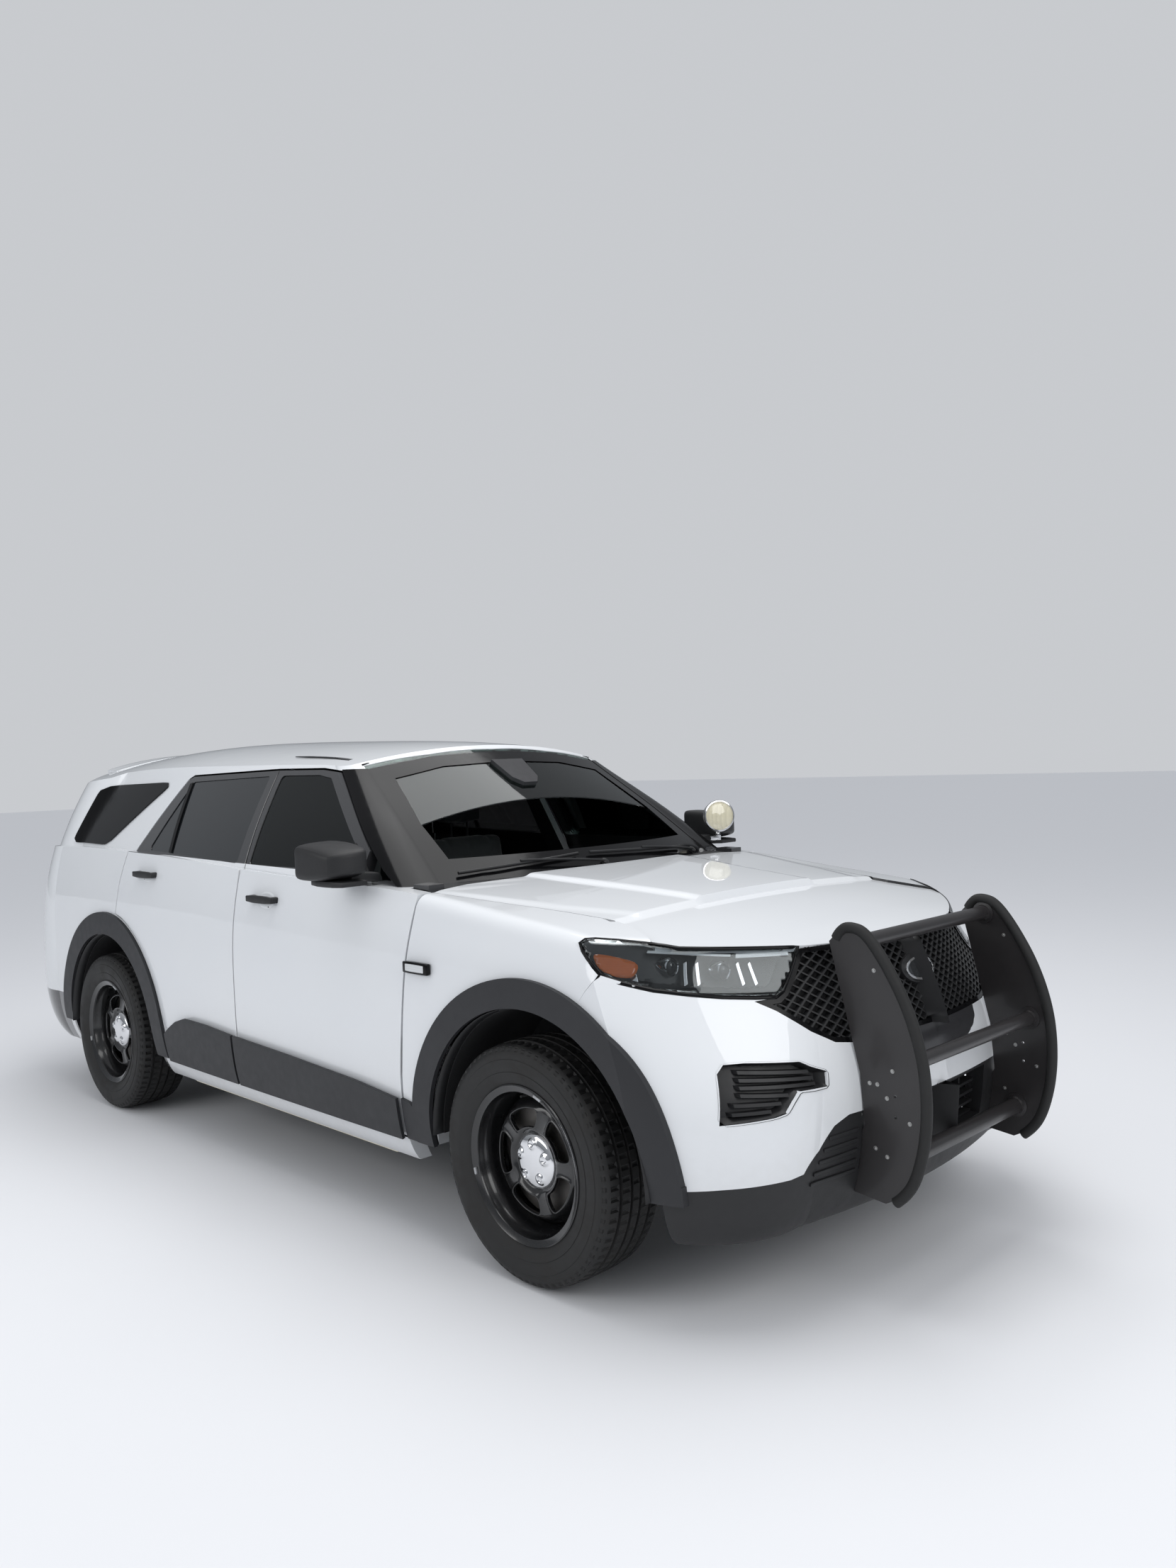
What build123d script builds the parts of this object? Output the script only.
"""Police patrol SUV: body panels, glass, doors and lids, running gear, cabin and push bumper.

Millimetres. +X points forward, +Y to the driver's side, +Z up. The origin is on the
ground, at the middle of the overall length and width. Tables give x from the front axle.
"""
import os
from math import cos, radians, sin

from build123d import *

FRONT_AXLE = 1555
WHEELBASE = 3025
TRACK = 1699
TYRE_RADIUS = 374
TYRE_WIDTH = 255
HUB_HEIGHT = TYRE_RADIUS

DOOR_GAP = 8
LOWER_WALL = 60
UPPER_WALL = 46
ROOF_WALL = 34
HOOD_WALL = 36
GLASS_SETBACK = 4
GLASS_THICKNESS = 6
MOULDING_PROUD = 16
TAIL_BULGE = 0.2

# Plan outlines of the lower body, one row a height.
# height, nose x, nose corner x, y, front shoulder x, y, middle y, rear shoulder x, y, tail corner x, y,
# tail x, bulge of the front corner
LOWER_BODY = (
    (250, 790, 730, 560, 460, 897, 905, -3640, 895, -3960, 640, -4020, 0.20),
    (330, 845, 785, 570, 470, 930, 950, -3650, 930, -4060, 660, -4120, 0.20),
    (480, 872, 818, 575, 465, 954, 977, -3665, 955, -4110, 680, -4160, 0.18),
    (640, 880, 818, 545, 450, 961, 984, -3665, 960, -4118, 690, -4168, 0.15),
    (800, 855, 772, 500, 405, 962, 986, -3665, 962, -4100, 690, -4150, 0.10),
    (960, 795, 708, 450, 335, 953, 980, -3665, 958, -4075, 690, -4125, 0.07),
    (1100, 735, 668, 440, 270, 920, 962, -3665, 940, -4050, 680, -4100, 0.06),
    (1290, 690, 620, 440, 220, 880, 916, -3640, 892, -4010, 650, -4060, 0.06),
)

# Plan outlines of the greenhouse, same columns; the nose columns are the windscreen.
GREENHOUSE = (
    (1120, -430, -575, 780, -665, 925, 960, -3570, 915, -4030, 700, -4108, 0.20),
    (1370, -765, -905, 712, -1000, 830, 850, -3480, 806, -3990, 650, -4052, 0.20),
    (1600, -1105, -1240, 640, -1345, 700, 722, -3380, 686, -3900, 590, -3962, 0.20),
    (1790, -1385, -1505, 580, -1600, 588, 604, -3300, 570, -3800, 510, -3865, 0.20),
)

# Top of the lower body: hood, then belt line. x, height at the middle, height at y = 960
HOOD_AND_BELT = (
    (900, 992, 955),
    (745, 1040, 1001),
    (560, 1079, 1036),
    (250, 1127, 1085),
    (-150, 1162, 1130),
    (-560, 1190, 1174),
    (-1200, 1200, 1196),
    (-1900, 1226, 1223),
    (-2600, 1252, 1250),
    (-3200, 1261, 1259),
    (-3750, 1256, 1254),
    (-4300, 1232, 1230),
)
HOOD_EDGE_Y = 960

# Roof sections. x, height at the middle, height at y = 720
ROOF = (
    (-900, 1622, 1560),
    (-1500, 1712, 1620),
    (-2150, 1737, 1632),
    (-2830, 1751, 1632),
    (-3440, 1738, 1606),
    (-4150, 1690, 1556),
)
ROOF_EDGE_Y = 720

# Side-view outlines: x from the front axle, height.
DOOR_BAND = ((-519, 1196), (-592, 560), (-603, 335), (-3200, 335), (-3200, 1584), (-2500, 1604),
             (-1772, 1618), (-1440, 1614), (-1300, 1600), (-785, 1232), (-745, 1216))
# Door edges that lean forward as they go inwards, drawn at y = LEAN_BASE.
LEAN_BASE = 990
DOOR_SEAM = ((-1726, 335), (-1723, 800), (-1729, 1207), (-1847, 1616), (-1880, 1760))
# The rear door's front edge turns sooner at the belt, so that it swings clear.
REAR_DOOR_SEAM = ((-1726, 335), (-1723, 800), (-1729, 1150), (-1735, 1207), (-1749, 1262), (-1847, 1616),
                  (-1880, 1760))
DOOR_SEAM_LEAN = 0.27
REAR_EDGE_FOOT = ((-2362, 335), (-2390, 470))
REAR_EDGE_TOP = ((-2874, 1110), (-2836, 1262), (-2667, 1585), (-2610, 1612), (-2590, 1760))
REAR_EDGE_LEAN = 0.4
FRONT_DOOR_GLASS = ((-866, 1232), (-1356, 1572), (-1450, 1586), (-1726, 1588), (-1688, 1232))
REAR_DOOR_GLASS = ((-1790, 1232), (-1818, 1588), (-2490, 1572), (-2660, 1262))
QUARTER_GLASS = ((-3285, 1278), (-2870, 1560), (-3400, 1538), (-3590, 1282))
ROOF_LINE = ((-900, 1588), (-1300, 1600), (-1440, 1614), (-1772, 1618), (-2500, 1604), (-3400, 1572),
             (-3700, 1552), (-3700, 1900), (-900, 1900))
FENDER = ((-519, 1200), (-519, 1196), (-592, 560), (-603, 335), (-603, 200), (700, 200), (700, 1200))
CABIN_SIDE = ((-4300, 200), (-603, 200), (-603, 335), (-592, 560), (-519, 1196), (-519, 1200),
              (-300, 1200), (-300, 1900), (-4300, 1900))
HOOD_PLAN = ((900, 0), (900, 826), (482, 826), (424, 793), (368, 761), (321, 739), (270, 721), (150, 722),
             (0, 745), (-250, 805), (-420, 850), (-520, 872), (-546, 700), (-520, 350), (-500, 0))
WINDSCREEN_PLAN = ((-300, 0), (-300, 800), (-600, 772), (-1262, 628), (-1225, 330), (-1212, 0))
WINDSCREEN_FOOT = 1170
FRONT_SEAM = ((268, 903), (301, 945), (340, 985), (345, 1055), (1200, 1055), (1200, 200), (268, 200))
BUMPER_FOOT = ((0, 590), (430, 582), (520, 440), (588, 417), (691, 426), (795, 431), (806, 437), (815, 472),
               (833, 550), (843, 570), (1100, 572), (1100, 200), (0, 200))
GRILLE_FACE = ((0, 759), (390, 761), (449, 770), (514, 808), (586, 871), (632, 901), (566, 905), (540, 919),
               (446, 1037), (0, 1046))
FOG_POCKET = ((805, 728), (783, 750), (736, 751), (588, 738), (557, 720), (510, 701), (520, 661), (618, 664),
              (645, 641), (673, 614), (709, 607), (839, 598))
LOWER_INTAKE = ((0, 400), (300, 400), (310, 560), (0, 566))
# Lamp outlines on a plane at 45 degrees to the corner: across, height.
HEADLAMP = ((-172, 1042), (113, 1061), (261, 1073), (430, 1092), (479, 1080), (451, 1020), (422, 990),
            (269, 943), (75, 917), (-85, 905), (-110, 919))
TAIL_LAMP = ((2052, 1172), (2392, 1184), (2392, 1040), (2250, 970), (2085, 1010))

# Wheel arches: centre x, centre height, inner radius, outer radius, front leg foot, rear leg foot
ARCHES = (
    (40, 380, 482, 573, 436, 340),
    (-2985, 370, 485, 590, 340, 400),
)

TAILGATE_FACE = ((0, 742), (600, 742), (655, 800), (655, 1180), (600, 1300), (545, 1620), (545, 1900),
                 (0, 1900))
TAILGATE_GLASS = ((0, 1240), (560, 1255), (590, 1300), (520, 1580), (0, 1604))
TAILGATE_REACH = -3730
REAR_BUMPER_TOP = 735

# Push bumper upright, side view.
UPRIGHT_FRONT = ((866, 1088), (1057, 650), (985, 350))
UPRIGHT_REAR = ((920, 316), (812, 329), (815, 456), (859, 530), (848, 680), (757, 1052), (800, 1094))
UPRIGHT_Y = 400
UPRIGHT_PLATE = 12
PUSH_TUBES = ((835, 1050, 22), (985, 715, 22), (930, 420, 25))
LIGHT_HOLE_RADIUS = 4.5
LIGHT_HOLE_SPACING = 60
LIGHT_HOLE_X = 960
LIGHT_HOLE_Z = 600
BRACKET_X = (746, 885)
BRACKET_Z = (402, 430)

TAILPIPE_Y = 300
TAILPIPE_Z = 380
TAILPIPE_RADIUS = 32

RIM_RADIUS = 247
BEAD_RADIUS = 229
RIM_HOLES = 5

# Half-width of the body space used by cutting solids.
WIDE = 1150
TALL = 1900


def along(x):
    """Distance from the front axle turned into the frame's x."""
    return FRONT_AXLE + x


def mirrored(solid):
    """The same solid on the other side of the car."""
    return mirror(solid, about=Plane.XZ, mode=Mode.PRIVATE)


def bulged(start, end, bulge):
    """Point that makes a rounded corner from start to end, away from the middle of the body."""
    mid_x, mid_y = (start[0] + end[0]) / 2, (start[1] + end[1]) / 2
    run_x, run_y = end[0] - start[0], end[1] - start[1]
    side = 1 if mid_x * run_y - mid_y * run_x > 0 else -1
    return mid_x + side * run_y * bulge, mid_y - side * run_x * bulge


def plan_loft(table, inset, first_drop, last_rise):
    """Closed body through the plan outlines of a table, pulled inwards by inset."""
    with BuildPart() as body:
        for number, row in enumerate(table):
            height, nose, nose_cx, nose_cy, front_x, front_y, middle_y = row[:7]
            rear_x, rear_y, tail_cx, tail_cy, tail, front_bulge = row[7:]
            if number == 0:
                height -= first_drop
            if number == len(table) - 1:
                height += last_rise
            nose_corner = (along(nose_cx) - inset, nose_cy - inset / 2)
            front = (along(front_x) - inset / 2, front_y - inset)
            middle = (along((front_x + rear_x) / 2), middle_y - inset)
            rear = (along(rear_x) + inset / 2, rear_y - inset)
            tail_corner = (along(tail_cx) + inset, tail_cy - inset / 2)
            left = (nose_corner, bulged(nose_corner, front, front_bulge), front, middle, rear,
                    bulged(rear, tail_corner, TAIL_BULGE), tail_corner)
            right = [(x, -y) for x, y in left]
            with BuildSketch(Plane.XY.offset(height)):
                with BuildLine():
                    ThreePointArc(right[0], (along(nose) - inset, 0), left[0])
                    ThreePointArc(left[0], left[1], left[2])
                    ThreePointArc(left[2], left[3], left[4])
                    ThreePointArc(left[4], left[5], left[6])
                    ThreePointArc(left[6], (along(tail) + inset, 0), right[6])
                    ThreePointArc(right[6], right[5], right[4])
                    ThreePointArc(right[4], right[3], right[2])
                    ThreePointArc(right[2], right[1], right[0])
                make_face()
        loft()
    return body.part


def crowned_loft(table, edge_y, drop):
    """Solid under a crowned surface, through one arched section per row."""
    with BuildPart() as body:
        for x, middle, edge in table:
            with BuildSketch(Plane.YZ.offset(along(x))):
                with BuildLine():
                    ThreePointArc((-edge_y, edge - drop), (0, middle - drop), (edge_y, edge - drop))
                    Polyline((edge_y, edge - drop), (edge_y + 200, edge - drop - 20), (edge_y + 200, 0),
                             (-edge_y - 200, 0), (-edge_y - 200, edge - drop - 20), (-edge_y, edge - drop))
                make_face()
        loft()
    return body.part


def side_prism(points, near=0, far=WIDE, shrink=0, radius=0):
    """Side-view outline swept sideways from y = near to y = far."""
    with BuildPart() as prism:
        with BuildSketch(Plane.XZ.offset(-near)):
            with BuildLine():
                Polyline(*[(along(x), z) for x, z in points], close=True)
            make_face()
            if radius:
                fillet(vertices(), radius)
            if shrink:
                offset(amount=-shrink, kind=Kind.INTERSECTION)
        extrude(amount=near - far)
    return prism.part


def leaning_prism(points, lean, shrink=0):
    """Side-view outline drawn at y = LEAN_BASE, swept inwards while it moves forward."""
    with BuildPart() as prism:
        with BuildSketch(Plane.XZ.offset(-LEAN_BASE - 40)):
            with BuildLine():
                Polyline(*[(along(x) - lean * 40, z) for x, z in points], close=True)
            make_face()
            if shrink:
                offset(amount=-shrink, kind=Kind.INTERSECTION)
        extrude(amount=700, dir=(lean, -1, 0))
    return prism.part


def plan_prism(points, shrink=0, low=200, high=TALL, mirror_half=True):
    """Plan outline of one half, mirrored and swept upwards."""
    with BuildPart() as prism:
        with BuildSketch(Plane.XY.offset(low)):
            with BuildLine():
                Polyline(*[(along(x), y) for x, y in points], close=True)
            make_face()
            if mirror_half:
                mirror(about=Plane.XZ)
            if shrink:
                offset(amount=-shrink, kind=Kind.INTERSECTION)
        extrude(amount=high - low)
    return prism.part


def face_prism(points, x_from, x_to, shrink=0, mirror_half=True):
    """Front-view outline of one half, mirrored and swept along the car."""
    with BuildPart() as prism:
        with BuildSketch(Plane.YZ.offset(along(x_from))):
            with BuildLine():
                Polyline(*points, close=True)
            make_face()
            if mirror_half:
                mirror(about=Plane.YZ)
            if shrink:
                offset(amount=-shrink, kind=Kind.INTERSECTION)
        extrude(amount=x_to - x_from)
    return prism.part


def corner_prism(points, forward, shrink=0, reach=1400):
    """Outline on a plane at 45 degrees to the left front or left rear corner, swept outwards."""
    out = (forward, 1, 0)
    across = (-1, forward, 0)
    with BuildPart() as prism:
        with BuildSketch(Plane(origin=(FRONT_AXLE, 0, 0), x_dir=across, z_dir=out)):
            with BuildLine():
                Polyline(*points, close=True)
            make_face()
            if shrink:
                offset(amount=-shrink, kind=Kind.INTERSECTION)
        if forward > 0:
            extrude(amount=reach)
        else:
            extrude(amount=4 * reach)
    return prism.part


def arch_disc(number, radius, near=430):
    """Round wheel space on the left side, open downwards."""
    x, z = ARCHES[number][:2]
    with BuildPart() as disc:
        with BuildSketch(Plane.XZ.offset(-near)):
            with Locations((along(x), z)):
                Circle(radius)
            with Locations((along(x), z - TYRE_RADIUS)):
                Rectangle(2 * radius, 2 * TYRE_RADIUS)
        extrude(amount=near - WIDE)
    return disc.part


def box_between(low, high):
    """Box between two corners given in the frame."""
    size = [b - a for a, b in zip(low, high)]
    centre = [(a + b) / 2 for a, b in zip(low, high)]
    return Pos(*centre) * Box(*size, mode=Mode.PRIVATE)


def kept(name, solid):
    """Labels a finished piece and writes it out."""
    solid.label = name
    export_step(solid, "parts/" + name + ".step")


os.makedirs("parts", exist_ok=True)

# Body shell
with BuildPart() as lower_outer:
    add(plan_loft(LOWER_BODY, 0, 0, 20))
    add(crowned_loft(HOOD_AND_BELT, HOOD_EDGE_Y, 0), mode=Mode.INTERSECT)

with BuildPart() as lower_inner:
    add(plan_loft(LOWER_BODY, LOWER_WALL, 20, 20))
    add(crowned_loft(HOOD_AND_BELT, HOOD_EDGE_Y, HOOD_WALL), mode=Mode.INTERSECT)

with BuildPart() as upper_outer:
    add(plan_loft(GREENHOUSE, 0, 0, 0))
    add(crowned_loft(ROOF, ROOF_EDGE_Y, 0), mode=Mode.INTERSECT)

with BuildPart() as upper_inner:
    add(plan_loft(GREENHOUSE, UPPER_WALL, 30, 0))
    add(crowned_loft(ROOF, ROOF_EDGE_Y, ROOF_WALL), mode=Mode.INTERSECT)

left_half = box_between((-3500, 0, -100), (3500, 1300, 2000))

with BuildPart() as shell:
    add(lower_outer.part)
    add(upper_outer.part)
    add(lower_inner.part, mode=Mode.SUBTRACT)
    add(upper_inner.part, mode=Mode.SUBTRACT)

with BuildPart() as glass_shell:
    add(plan_loft(GREENHOUSE, GLASS_SETBACK, 0, 0))
    add(plan_loft(GREENHOUSE, GLASS_SETBACK + GLASS_THICKNESS, 10, 10), mode=Mode.SUBTRACT)

with BuildPart() as left_shell:
    add(shell.part)
    add(left_half, mode=Mode.INTERSECT)
    for number, row in enumerate(ARCHES):
        add(arch_disc(number, row[2] + 20), mode=Mode.SUBTRACT)
with BuildPart() as nose_shell:
    add(left_shell.part)
    add(box_between((along(-620), 0, 200), (along(1000), WIDE, 1300)), mode=Mode.INTERSECT)
with BuildPart() as tail_shell:
    add(left_shell.part)
    add(box_between((along(-4300), 0, 200), (along(-3520), WIDE, TALL)), mode=Mode.INTERSECT)

# Cutting solids shared by the panels on both sides of a seam
arch_x, arch_z = ARCHES[1][:2]
arch_out = ARCHES[1][3]
ARCH_STEPS = range(16, 88, 8)
arch_edge = tuple((arch_x - 8 + (arch_out + 4) * cos(radians(a)), arch_z + (arch_out + 4) * sin(radians(a)))
                  for a in ARCH_STEPS)
before_seam = ((-300, 1760), (-300, 200), (-1726, 200)) + DOOR_SEAM
behind_seam = ((-3400, 1760), (-3400, 200), (-1726, 200)) + REAR_DOOR_SEAM
before_rear_edge = ((-1500, 1760), (-1500, 200), (-2360, 200)) + REAR_EDGE_FOOT + arch_edge + REAR_EDGE_TOP
with BuildPart() as doors_space:
    add(side_prism(DOOR_BAND, near=300))
    add(leaning_prism(((-300, 1760), (-300, 200), (-2360, 200)) + before_rear_edge[3:], REAR_EDGE_LEAN),
        mode=Mode.INTERSECT)
with BuildPart() as hood_cut:
    add(plan_prism(HOOD_PLAN, low=1000, high=1215))
    add(corner_prism(HEADLAMP, 1), mode=Mode.SUBTRACT)
    add(mirrored(corner_prism(HEADLAMP, 1)), mode=Mode.SUBTRACT)
    add(face_prism(GRILLE_FACE, 500, 1000), mode=Mode.SUBTRACT)
hood_space = hood_cut.part
roof_space = side_prism(ROOF_LINE, near=-WIDE)
front_space = side_prism(FRONT_SEAM)
fender_space = side_prism(FENDER, near=300)
cabin_side_space = side_prism(CABIN_SIDE, near=300)
windscreen_space = plan_prism(WINDSCREEN_PLAN, low=WINDSCREEN_FOOT, high=1850)
head_space = corner_prism(HEADLAMP, 1)
tail_space = corner_prism(TAIL_LAMP, -1)
tailgate_space = face_prism(TAILGATE_FACE, -4400, TAILGATE_REACH)
grille_space = face_prism(GRILLE_FACE, 500, 1000)
bumper_foot_space = side_prism(BUMPER_FOOT, near=-WIDE)
rear_bumper_space = box_between((along(-4300), -WIDE, 200), (along(-3560), WIDE, REAR_BUMPER_TOP))

# Hood
with BuildPart() as hood_left:
    add(nose_shell.part)
    add(plan_prism(HOOD_PLAN, shrink=DOOR_GAP, low=1000, high=1215), mode=Mode.INTERSECT)
    add(corner_prism(HEADLAMP, 1, shrink=-DOOR_GAP), mode=Mode.SUBTRACT)
    add(face_prism(GRILLE_FACE, 500, 1000, shrink=-DOOR_GAP), mode=Mode.SUBTRACT)
with BuildPart() as hood:
    add(hood_left.part)
    add(mirrored(hood_left.part))
kept("hood", hood.part)

# Roof
with BuildPart() as roof_panel:
    add(shell.part)
    add(roof_space, mode=Mode.INTERSECT)
    add(box_between((along(TAILGATE_REACH), -WIDE, 1000), (along(0), WIDE, TALL)), mode=Mode.INTERSECT)
    add(windscreen_space, mode=Mode.SUBTRACT)
kept("roof_panel", roof_panel.part)

# Front fenders
with BuildPart() as fender_left:
    add(nose_shell.part)
    add(fender_space, mode=Mode.INTERSECT)
    add(box_between((along(-620), 500, 200), (along(700), WIDE, 1250)), mode=Mode.INTERSECT)
    for cut in (hood_space, front_space, head_space, windscreen_space):
        add(cut, mode=Mode.SUBTRACT)
with BuildPart() as front_fenders:
    add(fender_left.part)
    add(mirrored(fender_left.part))
kept("front_fenders", front_fenders.part)

# Nose pieces, all on the body
with BuildPart() as nose_left:
    add(nose_shell.part)
    add(front_space, mode=Mode.INTERSECT)
    add(hood_space, mode=Mode.SUBTRACT)

with BuildPart() as bumper_left:
    add(nose_left.part)
    add(head_space, mode=Mode.SUBTRACT)
    add(grille_space, mode=Mode.SUBTRACT)
    add(bumper_foot_space, mode=Mode.SUBTRACT)
    add(face_prism(FOG_POCKET, 300, 1100, mirror_half=False), mode=Mode.SUBTRACT)
    add(face_prism(LOWER_INTAKE, 300, 1100), mode=Mode.SUBTRACT)
with BuildPart() as front_bumper:
    add(bumper_left.part)
    add(mirrored(bumper_left.part))
kept("front_bumper", front_bumper.part)

bracket_hole = box_between((along(700), UPRIGHT_Y - UPRIGHT_PLATE - 2, BRACKET_Z[0] - 2),
                           (along(1000), UPRIGHT_Y + 2, BRACKET_Z[1] + 2))
with BuildPart() as valance_left:
    add(nose_left.part)
    add(bumper_foot_space, mode=Mode.INTERSECT)
    add(face_prism(LOWER_INTAKE, 300, 1100), mode=Mode.SUBTRACT)
    add(bracket_hole, mode=Mode.SUBTRACT)
with BuildPart() as front_valance:
    add(valance_left.part)
    add(mirrored(valance_left.part))
kept("front_valance", front_valance.part)

with BuildPart() as grille_left:
    add(nose_left.part)
    add(grille_space, mode=Mode.INTERSECT)
    add(head_space, mode=Mode.SUBTRACT)
with BuildPart() as grille:
    add(grille_left.part)
    add(mirrored(grille_left.part))
kept("grille", grille.part)

with BuildPart() as headlamp_left:
    add(nose_shell.part)
    add(head_space, mode=Mode.INTERSECT)
    add(hood_space, mode=Mode.SUBTRACT)
with BuildPart() as headlamps:
    add(headlamp_left.part)
    add(mirrored(headlamp_left.part))
kept("headlamps", headlamps.part)

# Tail pieces
with BuildPart() as tail_lamp_left:
    add(tail_shell.part)
    add(tail_space, mode=Mode.INTERSECT)
    add(tailgate_space, mode=Mode.SUBTRACT)
with BuildPart() as tail_lamps:
    add(tail_lamp_left.part)
    add(mirrored(tail_lamp_left.part))
kept("tail_lamps", tail_lamps.part)

with BuildPart() as tailgate_left:
    add(tail_shell.part)
    add(face_prism(TAILGATE_FACE, -4400, TAILGATE_REACH - DOOR_GAP, shrink=DOOR_GAP), mode=Mode.INTERSECT)
    add(face_prism(TAILGATE_GLASS, -4400, -3700), mode=Mode.SUBTRACT)
with BuildPart() as tailgate:
    add(tailgate_left.part)
    add(mirrored(tailgate_left.part))
kept("tailgate", tailgate.part)

with BuildPart() as tailgate_glass:
    add(glass_shell.part)
    add(face_prism(TAILGATE_GLASS, -4400, -3740), mode=Mode.INTERSECT)
kept("tailgate_glass", tailgate_glass.part)

with BuildPart() as rear_bumper_left:
    add(tail_shell.part)
    add(rear_bumper_space, mode=Mode.INTERSECT)
    with BuildSketch(Plane.YZ.offset(along(-4300))):
        with Locations((TAILPIPE_Y, TAILPIPE_Z)):
            Circle(TAILPIPE_RADIUS + 6)
    extrude(amount=400, mode=Mode.SUBTRACT)
with BuildPart() as rear_bumper:
    add(rear_bumper_left.part)
    add(mirrored(rear_bumper_left.part))
kept("rear_bumper", rear_bumper.part)

# Doors
cowl_space = box_between((along(-900), 0, 1000), (along(-400), 793, 1215))
front_post_space = box_between((along(-648), 787, 290), (along(-480), 870, 1204))
door_band = side_prism(DOOR_BAND, near=300, shrink=DOOR_GAP)
DOORS = (
    ("front", (leaning_prism(before_seam, DOOR_SEAM_LEAN, DOOR_GAP / 2),), FRONT_DOOR_GLASS),
    ("rear", (leaning_prism(behind_seam, DOOR_SEAM_LEAN, DOOR_GAP / 2),
              leaning_prism(before_rear_edge, REAR_EDGE_LEAN, DOOR_GAP)), REAR_DOOR_GLASS),
)
for which, seams, opening in DOORS:
    with BuildPart() as door_left:
        add(left_shell.part)
        add(door_band, mode=Mode.INTERSECT)
        for seam in seams:
            add(seam, mode=Mode.INTERSECT)
        add(side_prism(opening, near=300, radius=18), mode=Mode.SUBTRACT)
        add(cowl_space, mode=Mode.SUBTRACT)
        add(front_post_space, mode=Mode.SUBTRACT)
    with BuildPart() as door_glass_left:
        add(glass_shell.part)
        add(side_prism(opening, near=300, radius=18), mode=Mode.INTERSECT)
    kept("door_" + which + "_left", door_left.part)
    kept("door_" + which + "_right", mirrored(door_left.part))
    kept("door_glass_" + which + "_left", door_glass_left.part)
    kept("door_glass_" + which + "_right", mirrored(door_glass_left.part))

# Cowl between the hood and the windscreen
with BuildPart() as cowl:
    add(shell.part)
    add(box_between((along(-700), -790, 1090), (along(-480), 790, 1215)), mode=Mode.INTERSECT)
    add(hood_space, mode=Mode.SUBTRACT)
    add(box_between((along(-700), -900, 1190), (along(-400), 900, 1300)), mode=Mode.SUBTRACT)
kept("cowl", cowl.part)

# Side frames: pillars, rockers and quarter panels
with BuildPart() as side_frame_left:
    add(left_shell.part)
    add(cabin_side_space, mode=Mode.INTERSECT)
    for cut in (doors_space.part, hood_space, roof_space, windscreen_space, tail_space,
                tailgate_space, rear_bumper_space):
        add(cut, mode=Mode.SUBTRACT)
    add(side_prism(QUARTER_GLASS, near=300, radius=18), mode=Mode.SUBTRACT)
    add(cowl_space, mode=Mode.SUBTRACT)
    add(box_between((along(-640), 795, 300), (along(-552), 862, 1196)))
    add(box_between((along(-640), 795, 290), (along(-606), 900, 328)))
    with BuildSketch(Plane.XY.offset(300)):
        with Locations((along(-1730), 868)):
            Rectangle(120, 40)
    with BuildSketch(Plane.XY.offset(1150)):
        with Locations((along(-1730), 858)):
            Rectangle(120, 40)
    with BuildSketch(Plane.XY.offset(1600)):
        with Locations((along(-1750), 624)):
            Rectangle(90, 34)
    loft(ruled=True)
kept("side_frame_left", side_frame_left.part)
kept("side_frame_right", mirrored(side_frame_left.part))

# Fixed glass
with BuildPart() as windscreen:
    add(glass_shell.part)
    add(windscreen_space, mode=Mode.INTERSECT)
    add(lower_outer.part, mode=Mode.SUBTRACT)
    add(crowned_loft(ROOF, ROOF_EDGE_Y, 2), mode=Mode.INTERSECT)
with BuildPart() as quarter_glass:
    add(glass_shell.part)
    add(side_prism(QUARTER_GLASS, near=300, radius=18), mode=Mode.INTERSECT)
kept("windscreen", windscreen.part)
with BuildPart() as quarter_windows:
    add(quarter_glass.part)
    add(mirrored(quarter_glass.part))
kept("quarter_windows", quarter_windows.part)

# Arch mouldings: black bands that follow the body and stand proud of it
with BuildPart() as proud_body:
    add(plan_loft(LOWER_BODY, -MOULDING_PROUD, 0, 20))
    add(plan_loft(LOWER_BODY, -1, 20, 40), mode=Mode.SUBTRACT)
    add(left_half, mode=Mode.INTERSECT)

moulding_solids = []
for x, z, inner, outer, front_foot, rear_foot in ARCHES:
    with BuildPart() as moulding:
        with BuildSketch(Plane.XZ.offset(-500)):
            with Locations((along(x), z)):
                Circle(outer)
                Circle(inner, mode=Mode.SUBTRACT)
            with Locations((along(x), z - outer / 2)):
                Rectangle(2 * outer, outer, mode=Mode.SUBTRACT)
            with Locations((along(x) + (outer + inner) / 2, (z + front_foot) / 2)):
                Rectangle(outer - inner, z - front_foot + 2)
            with Locations((along(x) - (outer + inner) / 2, (z + rear_foot) / 2)):
                Rectangle(outer - inner, z - rear_foot + 2)
        extrude(amount=500 - WIDE)
        add(proud_body.part, mode=Mode.INTERSECT)
    moulding_solids.append(moulding.part)
with BuildPart() as arch_mouldings:
    for solid in moulding_solids:
        add(solid)
        add(mirrored(solid))
kept("arch_mouldings", arch_mouldings.part)

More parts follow.
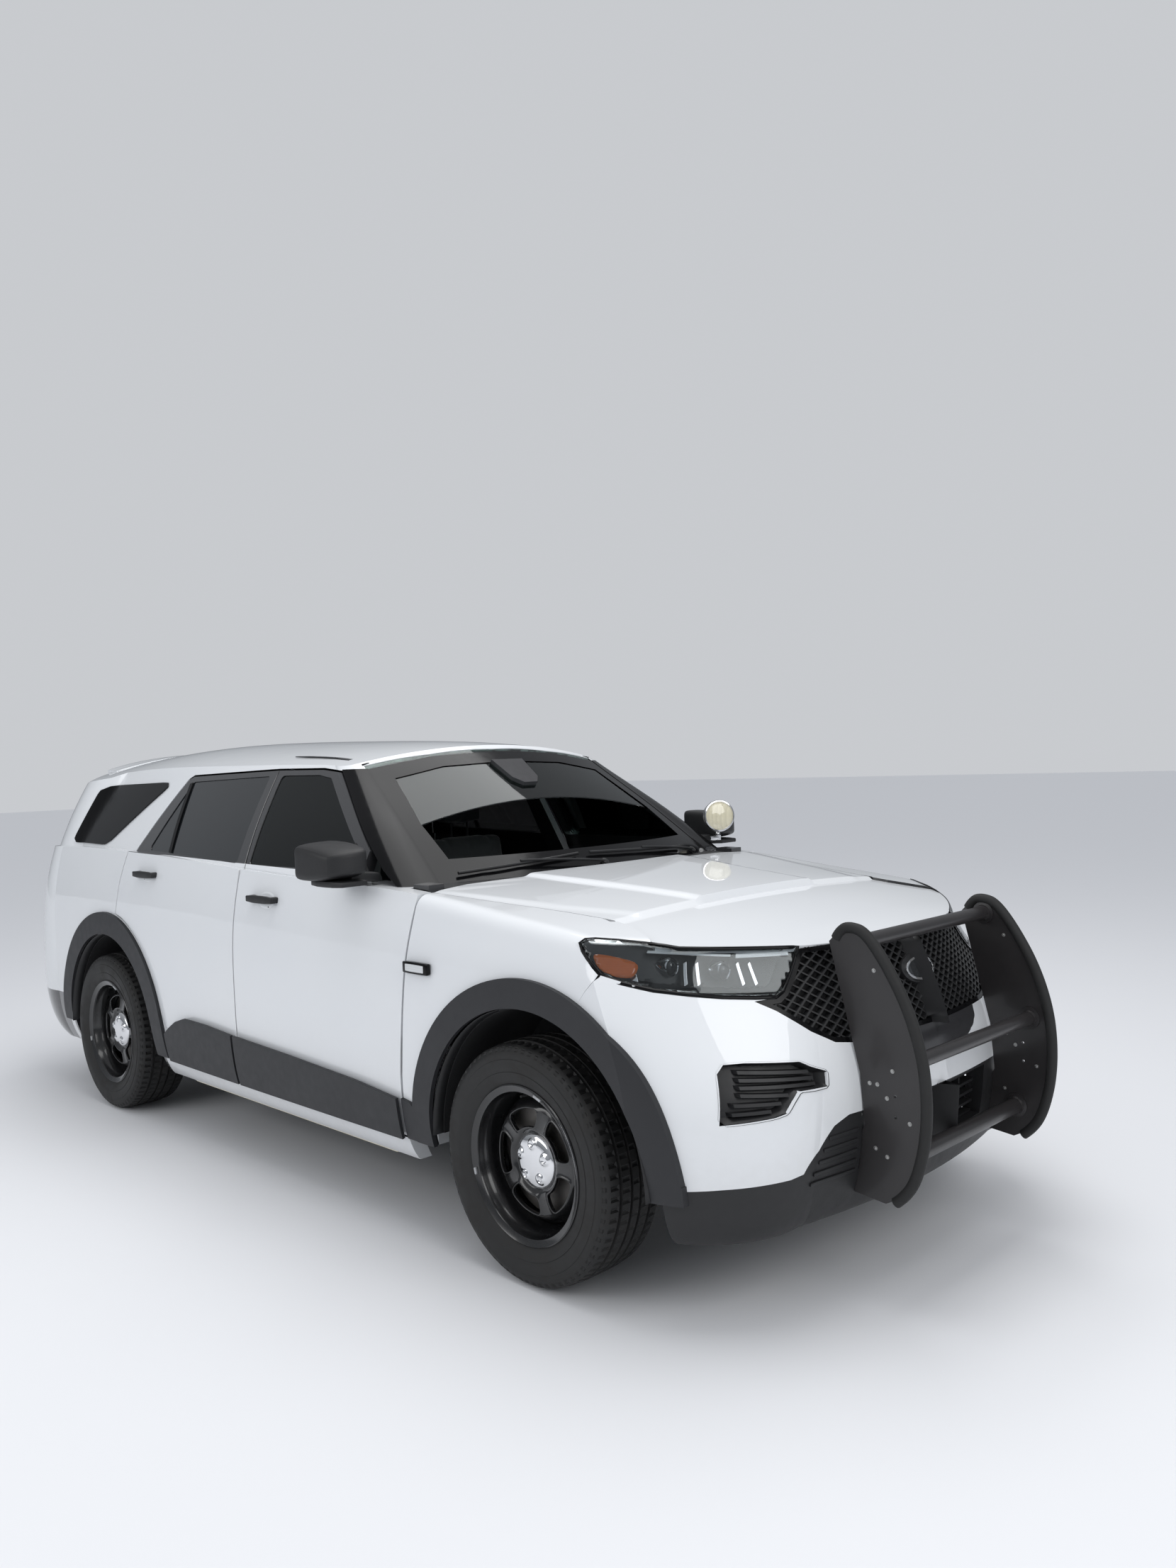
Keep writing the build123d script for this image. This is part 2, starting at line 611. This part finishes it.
# Push bumper: two upright plates with rubber edging, and cross tubes
with BuildPart() as upright:
    with BuildSketch(Plane.XZ.offset(-UPRIGHT_Y)) as profile:
        with BuildLine():
            front = [(along(x), z) for x, z in UPRIGHT_FRONT]
            rear = [(along(x), z) for x, z in UPRIGHT_REAR]
            ThreePointArc(front[0], front[1], front[2])
            Line(front[2], rear[0])
            Polyline(*rear)
            Line(rear[-1], front[0])
        make_face()
    extrude(amount=UPRIGHT_PLATE)
    with Locations(Plane.XZ.offset(-UPRIGHT_Y)):
        with Locations((along(LIGHT_HOLE_X), LIGHT_HOLE_Z)):
            with GridLocations(1, LIGHT_HOLE_SPACING, 1, 2):
                Hole(LIGHT_HOLE_RADIUS)
bumper_bracket = box_between((along(BRACKET_X[0]), UPRIGHT_Y - UPRIGHT_PLATE, BRACKET_Z[0]),
                             (along(BRACKET_X[1]), UPRIGHT_Y, BRACKET_Z[1]))
with BuildPart() as push_bumper:
    add(upright.part)
    add(mirrored(upright.part))
    for x, z, radius in PUSH_TUBES:
        with BuildSketch(Plane.XZ.offset(-UPRIGHT_Y)):
            with Locations((along(x), z)):
                Circle(radius)
        extrude(amount=2 * UPRIGHT_Y)
    add(plan_loft(LOWER_BODY, -1, 20, 40), mode=Mode.SUBTRACT)
    add(bumper_bracket)
    add(mirrored(bumper_bracket))
kept("push_bumper", push_bumper.part)

# Wheels
AXLES = (("front", 0), ("rear", -WHEELBASE))


def spun(points, y, x):
    """Ring turned about a wheel axis. Points are (radius, distance outboard of the wheel centre)."""
    with BuildPart() as ring:
        with BuildSketch(Plane.YZ.offset(along(x))):
            with BuildLine():
                Polyline(*[(y + offset, HUB_HEIGHT + radius) for radius, offset in points], close=True)
            make_face()
        revolve(axis=Axis((along(x), 0, HUB_HEIGHT), (0, 1, 0)), revolution_arc=360)
    return ring.part


TYRE_SECTION = ((BEAD_RADIUS, -96), (RIM_RADIUS + 1, -103), (290, -125), (330, -124), (356, -116),
                (TYRE_RADIUS - 6, -100), (TYRE_RADIUS, -70), (TYRE_RADIUS, 70),
                (TYRE_RADIUS - 6, 100), (356, 116), (330, 124), (290, 125), (RIM_RADIUS + 1, 103),
                (BEAD_RADIUS, 96), (BEAD_RADIUS + 6, 88), (BEAD_RADIUS + 8, -88))
BARREL_SECTION = ((RIM_RADIUS, -106), (RIM_RADIUS, -114), (BEAD_RADIUS - 8, -106), (BEAD_RADIUS - 9, -80),
                  (200, -54), (200, 20), (BEAD_RADIUS - 10, 64), (BEAD_RADIUS - 8, 106), (RIM_RADIUS, 114),
                  (RIM_RADIUS, 106), (BEAD_RADIUS - 0.5, 97), (BEAD_RADIUS - 1, 62), (207, 16), (207, -52),
                  (BEAD_RADIUS - 1, -80), (BEAD_RADIUS - 0.5, -97))
DISC_SECTION = ((203, 0), (203, 22), (185, 36), (150, 64), (120, 66), (96, 52), (36, 52), (36, 44),
                (98, 44), (123, 57), (146, 56), (178, 30), (190, 0))
for which, x in AXLES:
    tyre_left = spun(TYRE_SECTION, TRACK / 2, x)
    kept("tyre_" + which + "_left", tyre_left)
    kept("tyre_" + which + "_right", mirrored(tyre_left))
    with BuildPart() as rim_left:
        add(spun(BARREL_SECTION, TRACK / 2, x))
        add(spun(DISC_SECTION, TRACK / 2, x))
        with BuildSketch(Plane.XZ.offset(-TRACK / 2)):
            with Locations((along(x), HUB_HEIGHT)):
                with PolarLocations(166, RIM_HOLES):
                    SlotOverall(70, 40, rotation=90)
        extrude(amount=-120, mode=Mode.SUBTRACT)
    kept("rim_" + which + "_left", rim_left.part)
    kept("rim_" + which + "_right", mirrored(rim_left.part))

# Knuckles that steer the front wheels, with brake discs and hubs
HUB_STEPS = ((74, 40, 20), (172, 20, -8), (95, -8, -60), (60, -60, -95))


def hub_group(x, side):
    """Hub, brake disc and upright on one side, written as (radius, y from, y to)."""
    with BuildPart() as group:
        for radius, y_from, y_to in HUB_STEPS:
            with BuildSketch(Plane.XZ.offset(-side * (TRACK / 2 + y_from))):
                with Locations((along(x), HUB_HEIGHT)):
                    Circle(radius)
            extrude(amount=side * (y_from - y_to))
    return group.part


with BuildPart() as knuckle_left:
    add(hub_group(0, 1))
    with BuildSketch(Plane.XZ.offset(-TRACK / 2 + 62)):
        with Locations((along(0), HUB_HEIGHT)):
            Rectangle(90, 330)
    extrude(amount=40)
kept("knuckle_left", knuckle_left.part)
kept("knuckle_right", mirrored(knuckle_left.part))

with BuildPart() as rear_suspension:
    for side in (1, -1):
        add(hub_group(-WHEELBASE, side))
        with BuildSketch(Plane.XY.offset(HUB_HEIGHT - 95)):
            with Locations((along(-WHEELBASE + 60), side * 520)):
                Rectangle(240, 500)
        extrude(amount=36)
        with BuildSketch(Plane.XY.offset(HUB_HEIGHT - 60)):
            with Locations((along(-WHEELBASE - 90), side * 545)):
                Circle(48)
        extrude(amount=272)
    with BuildSketch(Plane.XZ.offset(-TRACK / 2 + 90)):
        with Locations((along(-WHEELBASE), HUB_HEIGHT)):
            Circle(28)
    extrude(amount=TRACK - 180)
    with BuildSketch(Plane.XZ.offset(-170)):
        with Locations((along(-WHEELBASE), HUB_HEIGHT)):
            Circle(110)
    extrude(amount=340)
kept("rear_suspension", rear_suspension.part)

with BuildPart() as front_suspension:
    for side in (1, -1):
        with BuildSketch(Plane.XY.offset(222)):
            with Locations((along(-40), side * 545)):
                Trapezoid(330, 280, 70, rotation=90 - 90 * side)
        extrude(amount=34)
        with BuildSketch(Plane.XY.offset(600)):
            with Locations((along(-20), side * 530)):
                Circle(58)
        extrude(amount=420)
        with BuildSketch(Plane.XZ.offset(-side * 700)):
            with Locations((along(0), HUB_HEIGHT)):
                Circle(22)
        extrude(amount=side * 560)
    with BuildSketch(Plane.XY.offset(235)):
        with Locations((along(-70), 0)):
            Rectangle(420, 860)
            Rectangle(240, 560, mode=Mode.SUBTRACT)
    extrude(amount=64)
kept("front_suspension", front_suspension.part)

# Liners inside the wheel arches
liner_solids = []
LINERS = ((ARCHES[0], 600, 610), (ARCHES[1], 610, 500))
for (x, z, inner, outer, front_foot, rear_foot), back, wall_foot in LINERS:
    with BuildPart() as liner:
        with BuildSketch(Plane.XZ.offset(-back)):
            with Locations((along(x), z)):
                Circle(inner - 2)
                Circle(inner - 8, mode=Mode.SUBTRACT)
            with Locations((along(x), z - inner)):
                Rectangle(2 * inner, 2 * inner, mode=Mode.SUBTRACT)
        extrude(amount=back - 925)
        with BuildSketch(Plane.XZ.offset(-back)):
            with Locations((along(x), z)):
                Circle(inner - 2)
            with Locations((along(x), wall_foot - inner)):
                Rectangle(2 * inner, 2 * inner, mode=Mode.SUBTRACT)
        extrude(amount=6)
    liner_solids.append(liner.part)
with BuildPart() as wheel_liners:
    for solid in liner_solids:
        add(solid)
        add(mirrored(solid))
kept("wheel_liners", wheel_liners.part)

# Floor, firewall and frame rails
RAIL_END = 745
floor_pieces = [
    box_between((along(-2420), -840, 318), (along(-560), 840, 346)),
    box_between((along(-4060), -600, 590), (along(-2420), 600, 618)),
    box_between((along(-2420), -600, 318), (along(-2392), 600, 618)),
    box_between((along(-588), -790, 318), (along(-560), 790, 1080)),
]
for side in (1, -1):
    low, high = sorted((side * 365, side * 430))
    floor_pieces.append(box_between((along(-588), low, 400), (along(RAIL_END), high, 475)))
    floor_pieces.append(box_between((along(-4060), low, 500), (along(-2420), high, 592)))
with BuildPart() as underbody:
    for piece in floor_pieces:
        add(piece)
    for side in (1, -1):
        low, high = sorted((side * 788, side * 900))
        add(box_between((along(-650), low, 300), (along(-540), high, 360)), mode=Mode.SUBTRACT)
kept("underbody", underbody.part)

# Engine as one block
with BuildPart() as engine_block:
    add(box_between((along(-330), -320, 480), (along(420), 320, 960)))
kept("engine_block", engine_block.part)

# Cabin
DASHBOARD = ((-600, 1090), (-640, 1128), (-860, 1126), (-960, 1080), (-985, 1010), (-950, 880), (-820, 790),
             (-600, 790))
with BuildPart() as dashboard:
    with BuildSketch(Plane.XZ.offset(-740)):
        with BuildLine():
            Polyline(*[(along(x), z) for x, z in DASHBOARD], close=True)
        make_face()
    extrude(amount=1480)
kept("dashboard", dashboard.part)

# Seats: x of the front of the cushion, y of each seat, width
SEATS = (("front_seats", -1330, (370, -370), 520), ("rear_seat", -2160, (0,), 1190))
raised_floor_space = box_between((along(-4100), -640, 300), (along(-2388), 640, 622))
CUSHION = ((0, 500), (0, 690), (-60, 722), (-470, 690), (-500, 500))
BACK = ((-430, 700), (-520, 1290), (-640, 1290), (-580, 560), (-502, 560))
HEADREST = ((-545, 1310), (-560, 1480), (-650, 1480), (-640, 1310))
for name, x, rows, width in SEATS:
    with BuildPart() as seat:
        for y in rows:
            for profile, share in ((CUSHION, 1), (BACK, 0.98), (HEADREST, 0.5)):
                with BuildSketch(Plane.XZ.offset(-y - width * share / 2)):
                    with BuildLine():
                        Polyline(*[(along(x + dx), z) for dx, z in profile], close=True)
                    make_face()
                extrude(amount=width * share)
            with BuildSketch(Plane.XY.offset(346)):
                with Locations((along(x - 260), y)):
                    Rectangle(360, width * 0.8)
            extrude(amount=160)
            with BuildSketch(Plane.XY.offset(1280)):
                with Locations((along(x - 598), y)):
                    Rectangle(14, 160)
            extrude(amount=40)
        add(raised_floor_space, mode=Mode.SUBTRACT)
    kept(name, seat.part)

STEERING_CENTRE = (-1075, 375, 1012)
COLUMN = Plane(origin=(along(STEERING_CENTRE[0]), STEERING_CENTRE[1], STEERING_CENTRE[2]),
               x_dir=(0, 1, 0), z_dir=(-0.9, 0, 0.43))
with BuildPart() as steering_wheel:
    with BuildSketch(COLUMN):
        Circle(190)
        Circle(160, mode=Mode.SUBTRACT)
        Rectangle(330, 36)
        with Locations((0, -80)):
            Rectangle(36, 160)
        Circle(62)
    extrude(amount=26)
    with BuildSketch(COLUMN):
        Circle(30)
    extrude(amount=-40)
kept("steering_wheel", steering_wheel.part)

# Mirrors on the front doors
MIRROR_PLAN = ((-742, 985), (-735, 1050), (-790, 1120), (-880, 1134), (-950, 1120), (-968, 985))
with BuildPart() as mirror_left:
    with BuildSketch(Plane.XY.offset(1206)):
        with BuildLine():
            Polyline(*[(along(x), y) for x, y in MIRROR_PLAN], close=True)
        make_face()
        fillet(vertices(), 18)
    extrude(amount=140)
    fillet(edges().filter_by(Axis.Z, reverse=True).group_by(Axis.Z)[-1], 26)
    with BuildSketch(Plane.XY.offset(1222)):
        with Locations((along(-810), 940)):
            Rectangle(110, 130)
    extrude(amount=34)
kept("mirror_left", mirror_left.part)
kept("mirror_right", mirrored(mirror_left.part))

# Spotlight on the driver's windscreen pillar
LAMP_CENTRE = (-681, 862, 1334)
LAMP_RADIUS = 71
with BuildPart() as spotlight_arm:
    with BuildSketch(Plane.XZ.offset(-800)):
        with Locations((along(LAMP_CENTRE[0]), 1236)):
            Circle(11)
    extrude(amount=-62)
    with BuildSketch(Plane.XY.offset(1225)):
        with Locations((along(LAMP_CENTRE[0]), LAMP_CENTRE[1])):
            Circle(13)
    extrude(amount=22)
kept("spotlight_arm", spotlight_arm.part)
LAMP_FACE = Plane(origin=(along(LAMP_CENTRE[0]), LAMP_CENTRE[1], LAMP_CENTRE[2]), x_dir=(0.5, 0.8, 0),
                  z_dir=(0.8, -0.5, 0))
with BuildPart() as spotlight_head:
    with BuildSketch(LAMP_FACE.offset(34)):
        Circle(LAMP_RADIUS)
    with BuildSketch(LAMP_FACE.offset(-16)):
        Circle(LAMP_RADIUS - 2)
    with BuildSketch(LAMP_FACE.offset(-58)):
        Circle(34)
    loft(ruled=True)
    with BuildSketch(Plane.XY.offset(1249)):
        with Locations((along(LAMP_CENTRE[0]), LAMP_CENTRE[1])):
            Circle(8)
    extrude(amount=30)
kept("spotlight_head", spotlight_head.part)

# Exhaust: silencer across the tail and its pipe
with BuildPart() as exhaust:
    with BuildSketch(Plane.XZ.offset(-330)):
        with Locations((along(-3760), 400)):
            Ellipse(130, 80)
    extrude(amount=660)
    for side in (1, -1):
        with BuildSketch(Plane.YZ.offset(along(-3800))):
            with Locations((side * TAILPIPE_Y, TAILPIPE_Z)):
                Circle(TAILPIPE_RADIUS)
        extrude(amount=-330)
kept("exhaust", exhaust.part)

# Light bars under the sills
with BuildPart() as sill_lights:
    for side in (1, -1):
        with BuildSketch(Plane.XY.offset(236)):
            with Locations((along(-1530), side * 872)):
                Rectangle(1530, 24)
        extrude(amount=14)
kept("sill_lights", sill_lights.part)
